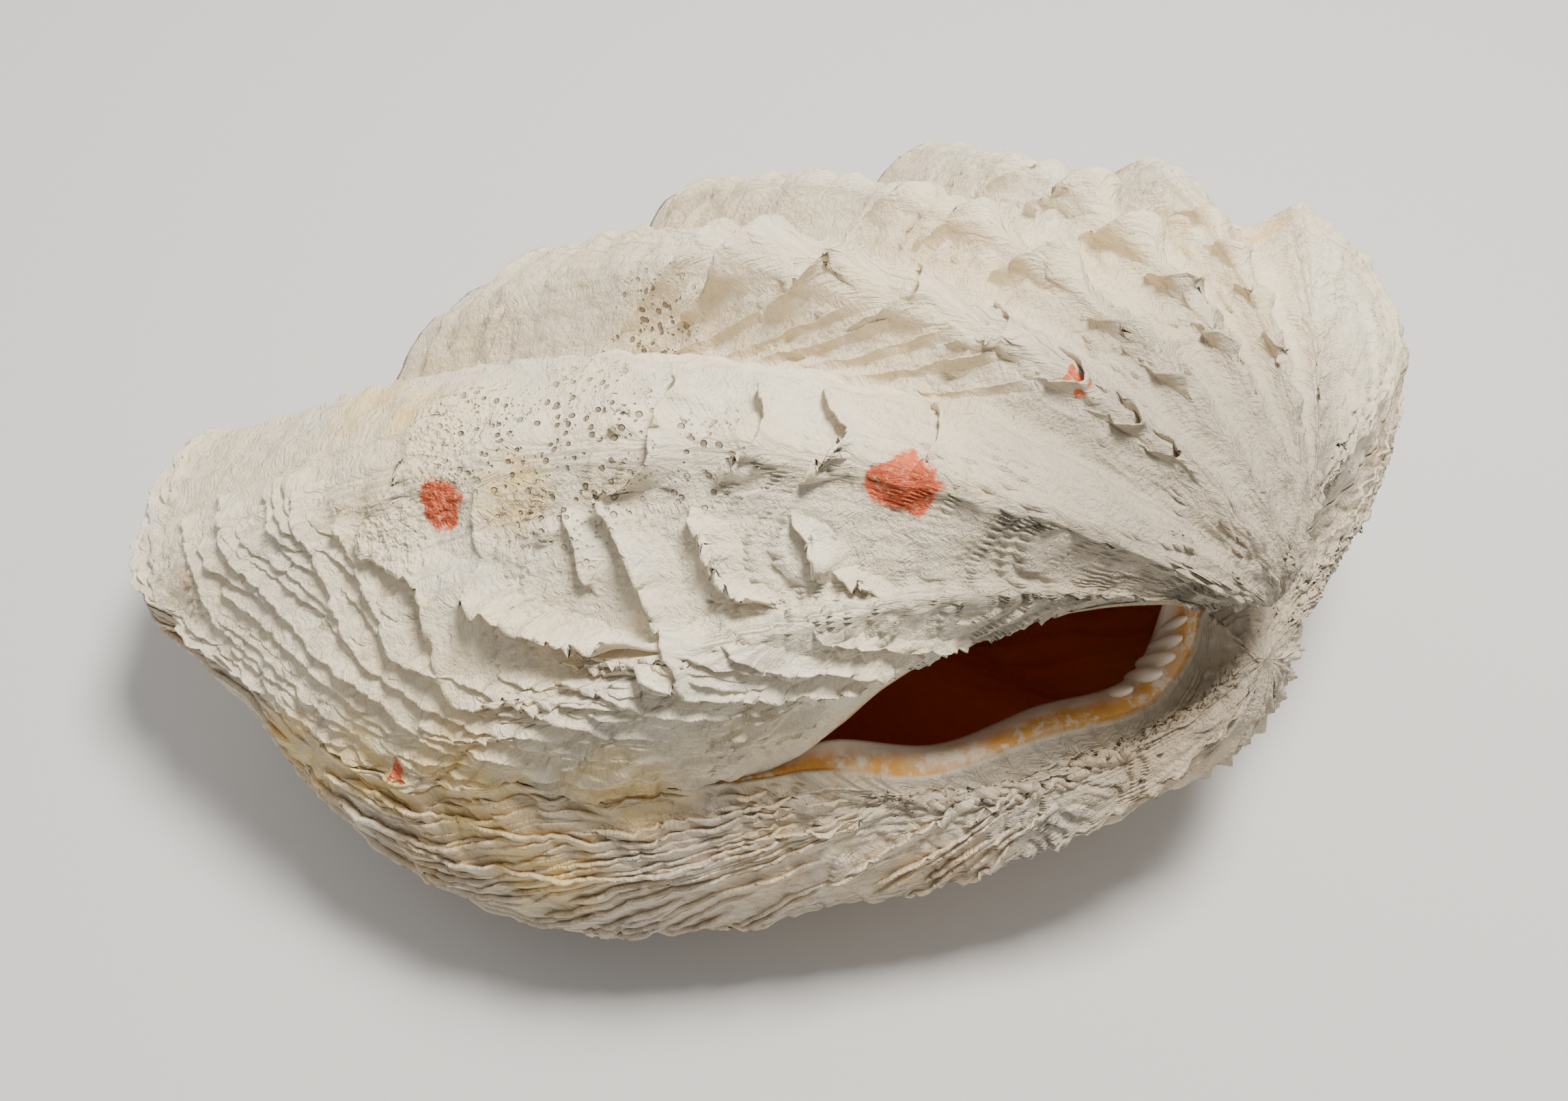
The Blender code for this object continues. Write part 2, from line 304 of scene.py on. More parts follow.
def inner_part(surface):
    """The rim and the inside, a wall's thickness short of the outside above it."""
    valve = surface.valve
    side = SIDE[valve]
    u = surface.u
    outer = surface.shell
    table = margin(u, valve) * MM
    rim_width = table[:, RIM[valve]]
    edge = outer[-1].copy()
    inward = HEART - edge[:, :2]
    inward /= np.linalg.norm(inward, axis=1)[:, None]
    gape = smooth(u, 0.0, 0.012) * smooth(GAPE_END - u, 0.0, 0.015)
    rows = []
    for share in RIM_SHARES:
        row = edge.copy()
        row[:, :2] += inward * (rim_width * share)[:, None]
        row[:, 2] -= side * gape * 2.2 * MM * (np.sin(np.pi * share**0.8) - 0.3 * share)
        rows.append(row)
    inner_edge = edge.copy()
    inner_edge[:, :2] += inward * rim_width[:, None]
    count = len(u)
    quads = []
    for i in range(len(outer) - 1):
        for k in range(count):
            a, b = i * count + k, i * count + (k + 1) % count
            quads.append((a, b, b + count, a + count))
    outside = BVHTree.FromPolygons(outer.reshape(-1, 3).tolist(), quads)
    for share in INNER_SHARES + (0.0,):
        loop = inner_edge.copy()
        loop[:, :2] = MIDDLE + (inner_edge[:, :2] - MIDDLE) * share
        loop[:, 2] *= share**FOLD_FADE
        lifts = np.zeros(count)
        for k, point in enumerate(loop):
            hit = outside.ray_cast(Vector(point), Vector((0.0, 0.0, side)))[3] or 0.0
            lifts[k] = hit * hit / (hit + WALL_DEEP)
        for _ in range(6):
            lifts = (np.roll(lifts, 1) + 2 * lifts + np.roll(lifts, -1)) / 4
        if share == 0.0:
            lifts[:] = lifts.mean()
        loop[:, 2] += side * lifts * (1 - share**LIP_POWER)
        if share == 0.0:
            loop[:] = loop.mean(axis=0)
        rows.append(loop)
    return np.array(rows)


def loft(name, points, values):
    """A closed mesh from a grid of points, whose first and last columns and end rows meet."""
    rows, columns = points.shape[:2]
    bpy.ops.mesh.primitive_grid_add(x_subdivisions=columns - 1, y_subdivisions=rows - 1, size=1.0)
    piece = bpy.context.object
    piece.name = piece.data.name = name
    mesh = piece.data
    flat = np.empty(len(mesh.vertices) * 3)
    mesh.vertices.foreach_get("co", flat)
    flat = flat.reshape(-1, 3)
    k = np.rint((flat[:, 0] + 0.5) * (columns - 1)).astype(int)
    i = np.rint((flat[:, 1] + 0.5) * (rows - 1)).astype(int)
    mesh.vertices.foreach_set("co", points[i, k].ravel())
    for layer in list(mesh.uv_layers):
        mesh.uv_layers.remove(layer)
    for key, field in values.items():
        attribute = mesh.attributes.new(key, "FLOAT", "POINT")
        attribute.data.foreach_set("value", field[i, k].astype(np.float32))
    bpy.ops.object.mode_set(mode="EDIT")
    bpy.ops.mesh.select_all(action="SELECT")
    bpy.ops.mesh.remove_doubles(threshold=1e-6)
    bpy.ops.mesh.normals_make_consistent(inside=False)
    bpy.ops.object.mode_set(mode="OBJECT")
    bpy.ops.object.shade_smooth()
    piece.select_set(False)
    return piece


def blurred(field, times):
    for _ in range(times):
        field = (np.roll(field, 1, 1) + np.roll(field, -1, 1) + 2 * field) / 4
        padded = np.pad(field, ((1, 1), (0, 0)), mode="edge")
        field = (padded[:-2] + 2 * field + padded[2:]) / 4
    return field


def valve_piece(surface):
    """The whole valve as one closed mesh."""
    inside = inner_part(surface)
    points = np.concatenate([surface.point, resting(inside, surface.valve)])
    points = np.concatenate([points, points[:, :1]], axis=1)
    extra = len(inside)
    # how far each place lies below the smoothed relief, which the materials paint darker as shade and dirt
    hollow = np.clip((blurred(surface.relief, 6) - surface.relief) / MM, 0.0, 2.0)
    depth = np.concatenate([np.zeros(ROWS + 1), np.array(RIM_SHARES) * 0.3,
                            0.3 + 0.7 * (1 - np.array(INNER_SHARES + (0.0,)))])
    run = surface.run / MM
    values = {
        "growth": np.concatenate([run, np.repeat(run[-1:], extra, axis=0)]),
        "around": np.repeat(surface.u[None] * 900.0, ROWS + 1 + extra, axis=0),
        "hollow": np.concatenate([hollow, np.zeros((extra, COLUMNS))]),
        "inside": np.repeat(depth[:, None], COLUMNS, axis=1),
        "stage": np.repeat(np.concatenate([surface.s, np.ones(extra)])[:, None], COLUMNS, axis=1),
    }
    values = {key: np.concatenate([field, field[:, :1]], axis=1) for key, field in values.items()}
    return loft(surface.valve + "_shell", points, values)


def lip_teeth(surface):
    """Short white ridges across the lip beside the hinge, all copies of one."""
    inside = resting(inner_part(surface), surface.valve)
    bpy.ops.mesh.primitive_uv_sphere_add(segments=24, ring_count=14, radius=1.0)
    first = bpy.context.object
    bpy.ops.object.shade_smooth()
    for key, value in (("growth", 0.0), ("around", 0.0), ("hollow", 0.0), ("inside", 0.29), ("stage", 1.0)):
        attribute = first.data.attributes.new(key, "FLOAT", "POINT")
        attribute.data.foreach_set("value", [value] * len(first.data.vertices))
    for u, length, width, tall in TEETH:
        k = int(round(u * COLUMNS))
        outer, crest, inner = Vector(inside[1, k]), Vector(inside[3, k]), Vector(inside[len(RIM_SHARES), k])
        across = (inner - outer).normalized()
        up = Vector((0.0, 0.0, 1.0))
        side = up.cross(across).normalized()
        up = across.cross(side).normalized()
        tooth = first.copy()
        tooth.data = first.data.copy()
        bpy.context.scene.collection.objects.link(tooth)
        size = Matrix.Diagonal((length / 2 * MM, width / 2 * MM, tall * MM, 1.0))
        turn = Matrix((across, side, up)).transposed().to_4x4()
        middle = crest.lerp(outer, 0.25) + up * 0.6 * MM
        tooth.data.transform(Matrix.Translation(middle) @ turn @ size)
        tooth.select_set(True)
        bpy.context.view_layer.objects.active = tooth
    bpy.data.objects.remove(first)
    bpy.ops.object.join()
    piece = bpy.context.object
    piece.name = piece.data.name = "lower_teeth"
    piece.select_set(False)
    return piece


#  place round the margin, length, width and height
TEETH = [(0.0095, 11, 2.2, 1.1), (0.0160, 13, 2.5, 1.5), (0.0230, 15, 2.8, 1.7), (0.0305, 15, 3.2, 1.7),
         (0.0400, 13, 3.4, 1.3)]


def path_through(points, surface, step):
    """The places along a smooth path through the points, evenly spaced on the surface."""
    points = np.array(points, float)
    padded = np.vstack([2 * points[0] - points[1], points, 2 * points[-1] - points[-2]])
    t = np.linspace(0, len(points) - 1, 40 * (len(points) - 1) + 1)
    i = np.minimum(t.astype(int), len(points) - 2)
    f = (t - i)[:, None]
    a, b, c, d = padded[i], padded[i + 1], padded[i + 2], padded[i + 3]
    line = 0.5 * (2 * b + (c - a) * f + (2 * a - 5 * b + 4 * c - d) * f**2 + (3 * b - a - 3 * c + d) * f**3)
    line[:, 1] = np.clip(line[:, 1], 0.02, 0.999)
    place = surface.at(surface.point, line[:, 0], line[:, 1])
    length = np.concatenate([[0.0], np.cumsum(np.linalg.norm(np.diff(place, axis=0), axis=1))])
    count = max(8, int(length[-1] / step))
    even = np.linspace(0, length[-1], count)
    return np.stack([np.interp(even, length, line[:, 0]), np.interp(even, length, line[:, 1])], axis=1), even


TOP_STEPS = np.array([0.0, 0.3, 0.55, 0.75, 0.88, 0.96, 1.0])
BOTTOM_STEPS = np.array([0.97, 0.85, 0.6, 0.3])


def ledge(surface, points, height, depth, over, thick, taper=8.0, rag=0.5, peak=0.0, lean=0.0, sink=0.8, seed=0.0,
          curve=2.0):
    """A plate that leaves the surface and stands over it along a path, with a thin free edge.

    height, depth, over, thick, taper, rag and sink are in millimetres. A peak above 0 makes the
    plate highest in its middle, as a scale is, and lean tips the free edge forwards.
    """
    line, along = path_through(points, surface, LEDGE_STEP)
    count = len(line)
    t = along / along[-1]
    ends = smooth(np.minimum(along, along[-1] - along), 0.0, min(taper * MM, along[-1] * 0.45))
    wander = np.stack([along / MM / 5.0, np.full(count, seed), np.zeros(count)], axis=1)
    chips = np.array([noise.fractal(p, 0.7, 2.0, 4) for p in wander.tolist()])
    waves = np.array([noise.noise(p) for p in (wander * 0.45 + 7.3).tolist()])
    tall = height * (1.0 + 0.35 * waves) * ends
    if peak > 0:
        tall *= 0.24 + 0.76 * np.sin(np.pi * np.clip(t, 0, 1)) ** peak
    tall = np.maximum(tall + 0.25 * chips * ends, 0.0) - sink * (1 - ends)
    forward = (over * ends + rag * chips * ends + lean * np.maximum(tall, 0)) * MM
    speed = surface.at(surface.speed, line[:, 0], line[:, 1])
    reach = depth * MM / np.maximum(speed, 0.02)

    def rows(steps, drop):
        s = np.clip(line[:, 1][:, None] - reach[:, None] * (1 - steps[None]), 0.01, 0.9995)
        uu = np.repeat(line[:, 0][:, None], len(steps), axis=1)
        place = surface.at(surface.point, uu, s)
        normal = surface.at(surface.normal, uu, s)
        growth = surface.at(surface.growth, uu, s)
        shape = steps[None] ** curve
        lift = (-sink + (tall[:, None] + sink) * shape) * MM - drop
        push = forward[:, None] * smooth(steps[None], 0.5, 1.0)
        return place + normal * lift[..., None] + growth * push[..., None]

    top = rows(TOP_STEPS, 0.0)
    tip_normal = surface.at(surface.normal, line[:, 0], line[:, 1])
    tip_growth = surface.at(surface.growth, line[:, 0], line[:, 1])
    edge_thick = thick * MM * (0.35 + 0.65 * ends)
    tip = top[:, -1] + (0.35 * tip_growth - 0.5 * tip_normal) * edge_thick[:, None]
    under = top[:, -1] + (0.1 * tip_growth - 1.0 * tip_normal) * edge_thick[:, None]
    bottom = rows(BOTTOM_STEPS, edge_thick[:, None] * 1.3 + np.array([0.0, 0.0, 0.1, 0.3])[None] * MM)
    points = np.concatenate([top, tip[:, None], under[:, None], bottom, top[:, :1]], axis=1)
    for end in (0, -1):
        points[end] = points[end].mean(axis=0)
    points[..., 2] = np.maximum(under_top(points[..., 2]), 0.0)
    columns = points.shape[1]
    inner = np.concatenate([TOP_STEPS, [1.0, 1.0], BOTTOM_STEPS, [0.0]])
    run = surface.at(surface.run, line[:, 0], line[:, 1]) / MM
    # the plate's underside and tip, which the materials paint darker as shade and dirt
    under_mask = np.concatenate([np.zeros(len(TOP_STEPS)), [0.1, 0.6], np.full(len(BOTTOM_STEPS), 1.0), [0.0]])
    values = {
        "growth": run[:, None] - depth * (1 - inner)[None],
        "around": np.repeat(line[:, 0][:, None] * 900.0, columns, axis=1),
        "hollow": np.repeat(under_mask[None], count, axis=0),
        "inside": np.zeros((count, columns)),
        "stage": np.repeat(line[:, 1][:, None], columns, axis=1),
    }
    return points, values


def joined(name, plates):
    pieces = [loft(name, points, values) for points, values in plates]
    bpy.ops.object.select_all(action="DESELECT")
    for piece in pieces:
        piece.select_set(True)
    bpy.context.view_layer.objects.active = pieces[0]
    bpy.ops.object.join()
    piece = bpy.context.object
    piece.name = piece.data.name = name
    piece.select_set(False)
    return piece


#  name: path of (u, s), height, depth, over, thick, then further settings
UPPER_LEDGES = [
    ([(0.395, 0.650), (0.371, 0.667), (0.356, 0.681), (0.337, 0.707), (0.324, 0.752), (0.313, 0.782), (0.305, 0.793),
      (0.293, 0.781), (0.285, 0.776), (0.27, 0.798), (0.262, 0.814), (0.244, 0.849), (0.232, 0.841), (0.218, 0.815)],
     3.2, 16, 1.4, 2.0, {"rag": 1.3, "curve": 1.3}),
    ([(0.38, 0.566), (0.351, 0.605), (0.322, 0.661), (0.3, 0.7), (0.283, 0.718)], 1.8, 12, 0.9, 1.2, {"curve": 2.4}),
    ([(0.292, 0.706), (0.277, 0.736), (0.265, 0.731), (0.254, 0.715), (0.242, 0.705), (0.228, 0.697), (0.212, 0.683)],
     6.0, 14, 3.2, 1.5, {"curve": 2.8, "taper": 12}),
    ([(0.309, 0.618), (0.293, 0.62), (0.279, 0.627), (0.269, 0.64), (0.255, 0.662)], 3.4, 12, 1.7, 1.2, {"curve": 3.0}),
    ([(0.397, 0.500), (0.379, 0.478), (0.368, 0.487), (0.349, 0.492), (0.329, 0.506), (0.313, 0.545), (0.304, 0.579),
      (0.285, 0.585), (0.269, 0.591), (0.254, 0.609), (0.243, 0.622), (0.219, 0.667), (0.187, 0.762), (0.17, 0.82)],
     4.0, 13, 2.0, 1.2, {"curve": 3.0}),
    ([(0.398, 0.442), (0.385, 0.426), (0.367, 0.419), (0.348, 0.423), (0.333, 0.439), (0.318, 0.47), (0.302, 0.500)],
     4.0, 12, 2.0, 1.2, {"curve": 3.0}),
    ([(0.303, 0.515), (0.292, 0.524), (0.277, 0.524), (0.257, 0.538), (0.243, 0.542), (0.222, 0.54)],
     3.6, 12, 1.9, 1.2, {"curve": 3.0}),
    ([(0.415, 0.406), (0.395, 0.388), (0.381, 0.378), (0.37, 0.365), (0.35, 0.373), (0.326, 0.403), (0.306, 0.438)],
     3.4, 10, 1.8, 1.4, {"curve": 3.0}),
    ([(0.297, 0.447), (0.285, 0.448), (0.278, 0.444), (0.263, 0.448), (0.236, 0.484)], 3.8, 10, 1.9, 1.2, {"curve": 2.8}),
    ([(0.449, 0.365), (0.431, 0.341), (0.401, 0.32), (0.379, 0.316), (0.354, 0.323), (0.33, 0.346)], 2.2, 9, 1.2, 1.1,
     {"curve": 2.6}),
    ([(0.262, 0.455), (0.240, 0.447), (0.22, 0.456), (0.200, 0.48)], 3.0, 9, 1.4, 1.1, {"curve": 2.0, "taper": 10}),
    ([(0.372, 0.524), (0.369, 0.516), (0.355, 0.522), (0.344, 0.535)], 2.6, 7, 1.6, 1.2, {"taper": 4}),
    ([(0.369, 0.939), (0.338, 0.927), (0.313, 0.965), (0.291, 0.978)], 1.6, 10, 0.8, 0.9, {}),
    ([(0.371, 0.905), (0.353, 0.88), (0.318, 0.896), (0.294, 0.911), (0.275, 0.91), (0.261, 0.902), (0.24, 0.92),
      (0.22, 0.941), (0.19, 0.976), (0.17, 0.974), (0.151, 0.959), (0.137, 0.934)], 2.2, 11, 1.1, 1.0, {"rag": 0.9}),
    ([(0.36, 0.775), (0.346, 0.8), (0.32, 0.826), (0.297, 0.855), (0.279, 0.877), (0.268, 0.879), (0.234, 0.879),
      (0.197, 0.925), (0.176, 0.929), (0.157, 0.91), (0.139, 0.891), (0.125, 0.859)], 2.2, 11, 1.1, 1.0, {"rag": 1.0}),
    ([(0.339, 0.765), (0.317, 0.795), (0.297, 0.817), (0.277, 0.833), (0.265, 0.847), (0.239, 0.816), (0.203, 0.865),
      (0.183, 0.88), (0.167, 0.87), (0.155, 0.841), (0.142, 0.793)], 2.6, 10, 1.3, 1.1, {"rag": 1.0}),
    ([(0.254, 0.945), (0.225, 0.972), (0.19, 0.984), (0.168, 0.988), (0.148, 0.985), (0.13, 0.975)],
     1.8, 7, 2.0, 0.8, {"rag": 1.2}),
    ([(0.254, 0.88), (0.223, 0.924), (0.2, 0.95), (0.178, 0.945), (0.157, 0.94), (0.137, 0.93)],
     2.2, 7, 1.8, 0.9, {"rag": 1.2}),
    ([(0.236, 0.769), (0.204, 0.797), (0.184, 0.822), (0.173, 0.811), (0.163, 0.805), (0.14, 0.80)],
     3.0, 8, 2.2, 1.1, {"rag": 1.2}),
    ([(0.232, 0.73), (0.215, 0.73), (0.19, 0.76), (0.16, 0.758), (0.14, 0.74), (0.125, 0.76)],
     3.4, 9, 2.4, 1.2, {"rag": 1.2, "curve": 2.6}),
    ([(0.21, 0.655), (0.19, 0.675), (0.17, 0.69), (0.151, 0.679), (0.135, 0.692), (0.12, 0.73)],
     2.6, 8, 1.8, 1.1, {"rag": 1.0, "curve": 2.4}),
    ([(0.2, 0.58), (0.176, 0.605), (0.145, 0.595), (0.12, 0.62), (0.10, 0.67)], 1.8, 7, 1.2, 1.0, {"rag": 0.9}),
]
# stacked lamellae in the valley behind the centre rib
VALLEY = [(0.40, 0.47), (0.42, 0.452), (0.44, 0.432), (0.455, 0.402), (0.465, 0.381), (0.477, 0.362), (0.499, 0.337)]
for shift, height in ((-0.035, 1.2), (0.0, 1.8), (0.030, 1.6), (0.058, 2.0), (0.085, 1.5), (0.12, 1.8), (0.16, 1.4)):
    UPPER_LEDGES.append(([(u + 0.1 * shift, s + shift * (1 + 3 * (0.499 - u))) for u, s in VALLEY],
                         height, 6, 1.2, 0.9, {"rag": 0.9}))
LOWER_LEDGES = [
    ([(0.265, 0.971), (0.237, 0.979), (0.211, 0.957), (0.187, 0.926), (0.161, 0.923), (0.135, 0.928), (0.121, 0.889)],
     2.2, 9, 1.6, 1.1, {"rag": 1.0}),
    ([(0.251, 0.943), (0.23, 0.924), (0.212, 0.893), (0.197, 0.858), (0.176, 0.848), (0.15, 0.858), (0.134, 0.805)],
     2.6, 9, 1.8, 1.2, {"rag": 1.0}),
]

# u and s on the rib's crest, reach to either side in u, height
SCALES = [
    (0.503, 0.610, 0.040, 4.5), (0.503, 0.545, 0.038, 8.5), (0.503, 0.478, 0.036, 8.0), (0.503, 0.408, 0.034, 6.5),
    (0.506, 0.343, 0.030, 4.2), (0.505, 0.286, 0.026, 3.4), (0.504, 0.240, 0.022, 2.8), (0.504, 0.200, 0.020, 2.4),
    (0.596, 0.388, 0.032, 8.0), (0.598, 0.468, 0.034, 6.5), (0.597, 0.55, 0.034, 4.0), (0.594, 0.31, 0.024, 3.2),
    (0.592, 0.25, 0.020, 3.0), (0.680, 0.437, 0.028, 7.5), (0.681, 0.525, 0.030, 6.5), (0.680, 0.36, 0.022, 4.5),
    (0.679, 0.29, 0.020, 3.2), (0.679, 0.62, 0.030, 3.5), (0.757, 0.485, 0.020, 4.0), (0.757, 0.40, 0.018, 3.0),
    (0.757, 0.58, 0.020, 3.0), (0.757, 0.32, 0.016, 2.6),
]


def scale_plates(surface):
    """Scales that stand on the rib's crests, each the peak of a ledge that runs down both flanks."""
    plates = []
    for i, (u, s, reach, height) in enumerate(SCALES):
        path = [(u + reach * a, s + 0.045 * abs(a) ** 1.5) for a in (-1.0, -0.6, -0.25, 0.0, 0.25, 0.6, 1.0)]
        plates.append(ledge(surface, path, height, 14, height * 0.36, 1.0, taper=6, rag=0.9, peak=4.0, curve=2.8,
                            sink=0.6, seed=20.0 + i))
    return plates


def grown_ledges(surface, seed, bands):
    """Ledges along the growth lines of bands of the valve, each broken off at its own places."""
    rng = np.random.default_rng(seed)
    made = []
    for u0, u1, s0, s1, every, height, depth, long in bands:
        s = s0
        while s < s1:
            middle = rng.uniform(u0, u1)
            reach = long * rng.uniform(0.5, 1.0) / 2
            places = np.linspace(max(u0, middle - reach), min(u1, middle + reach), 7)
            lift = rng.normal(0, 0.004, 7).cumsum() * 0.5
            points = [(a, float(np.clip(s + b, 0.04, 0.985))) for a, b in zip(places, lift)]
            tall = height * rng.uniform(0.6, 1.25)
            made.append(ledge(surface, points, tall, depth, tall * 0.45, 0.8 + 0.2 * tall, rag=0.7,
                              seed=float(rng.uniform(0, 90)), curve=1.8, sink=0.6))
            s += every * rng.uniform(0.6, 1.4)
    return made


def frills(surface, seed, count):
    """Thin scraps of the last growth layers, which stand out over the joint between the valves."""
    rng = np.random.default_rng(seed)
    made = []
    for _ in range(count):
        u, s, reach = rng.uniform(0.155, 0.42), rng.uniform(0.975, 0.9985), rng.uniform(0.007, 0.022)
        lift = rng.normal(0, 0.0025, 5)
        points = [(u + reach * a, float(np.clip(s + b, 0.95, 0.999))) for a, b in zip((-1, -0.5, 0, 0.5, 1), lift)]
        made.append(ledge(surface, points, rng.uniform(0.5, 1.6), 6, rng.uniform(0.6, 2.6), 0.6, taper=5, rag=1.1,
                          seed=float(rng.uniform(0, 90)), sink=0.5))
    return made


class Nodes:
    """Short calls for the nodes of one material."""

    def __init__(self, name):
        self.material = bpy.data.materials.new(name)
        self.material.use_nodes = True
        self.tree = self.material.node_tree
        self.shader = self.tree.nodes["Principled BSDF"]
        self.place = self.add("ShaderNodeTexCoord").outputs["Object"]

    def add(self, kind, values=None, **settings):
        node = self.tree.nodes.new(kind)
        for key, value in settings.items():
            setattr(node, key, value)
        for key, value in (values or {}).items():
            if isinstance(value, bpy.types.NodeSocket):
                self.tree.links.new(value, node.inputs[key])
            else:
                node.inputs[key].default_value = value
        return node

    def math(self, operation, a, b=0.0):
        return self.add("ShaderNodeMath", {0: a, 1: b}, operation=operation).outputs[0]

    def total(self, *parts):
        result = parts[0]
        for part in parts[1:]:
            result = self.math("ADD", result, part)
        return result

    def ramp(self, value, low, high, to_low=0.0, to_high=1.0):
        return self.add("ShaderNodeMapRange",
                        {"Value": value, "From Min": low, "From Max": high, "To Min": to_low, "To Max": to_high},
                        interpolation_type="SMOOTHSTEP").outputs[0]

    def mix(self, factor, a, b):
        return self.add("ShaderNodeMix", {0: factor, 6: a, 7: b}, data_type="RGBA").outputs[2]

    def noise(self, vector, scale, detail=3.0, roughness=0.6):
        return self.add("ShaderNodeTexNoise", {"Vector": vector, "Scale": scale, "Detail": detail,
                                               "Roughness": roughness}).outputs[0]

    def attribute(self, name):
        return self.add("ShaderNodeAttribute", attribute_name=name).outputs["Fac"]

    def wandering(self, scale, reach):
        """Object coordinates, each pushed aside by noise, up to the reach in mm."""
        colour = self.add("ShaderNodeTexNoise", {"Vector": self.place, "Scale": scale, "Detail": 3.0}).outputs["Color"]
        centred = self.add("ShaderNodeVectorMath", {0: colour, 1: (0.5, 0.5, 0.5)}, operation="SUBTRACT").outputs[0]
        pushed = self.add("ShaderNodeVectorMath", {0: centred, "Scale": reach * 2 * MM}, operation="SCALE").outputs[0]
        return self.add("ShaderNodeVectorMath", {0: self.place, 1: pushed}).outputs[0]

    def near(self, place, spots, edge=0.25):
        """1 close to any of the spots, each with its centre and radius in mm."""
        result = None
        for x, y, z, radius in spots:
            distance = self.add("ShaderNodeVectorMath", {0: place, 1: (x * MM, y * MM, z * MM)},
                                operation="DISTANCE").outputs["Value"]
            mask = self.ramp(distance, radius * (1 + edge) * MM, radius * (1 - edge) * MM)
            result = mask if result is None else self.math("MAXIMUM", result, mask)
        return result


CRUST = [(-66.4, -45.7, 102.4, 5.2), (23.2, -60.9, 127.7, 6.6), (56.7, -37.7, 129.5, 2.2), (-77.8, -81.9, 57.0, 2.0)]
PALE_CRUST = [(-129.1, -35.8, 61.6, 2.0)]
YELLOW = [(-51.4, -48.7, 109.0, 8), (-46.5, -98.8, 46.7, 12), (-61.7, -87.7, 61.0, 14), (-102.4, -70.9, 45.9, 12),
          (-87.3, -2.6, 84.3, 10), (-75.1, -17.2, 96.7, 7), (113.3, 50.4, 78.6, 9), (-29.2, -91.1, 69.0, 12),
          (-84.0, -80.0, 55.0, 10)]
BORED = [(-40.4, -41.6, 117.1, 20), (-28.6, 3.5, 95.4, 15), (-15.7, -51.0, 124.3, 9), (-58.0, -32.0, 110.0, 13)]
PITTED = [(-64.7, -27.9, 104.9, 12), (-66.6, -39.9, 104.9, 8), (-76.9, -48.7, 93.1, 9)]
# centre and radius in mm of the painted shade round the umbo
UMBO_SHADE = [(84.0, -60.0, 104.0, 52)]


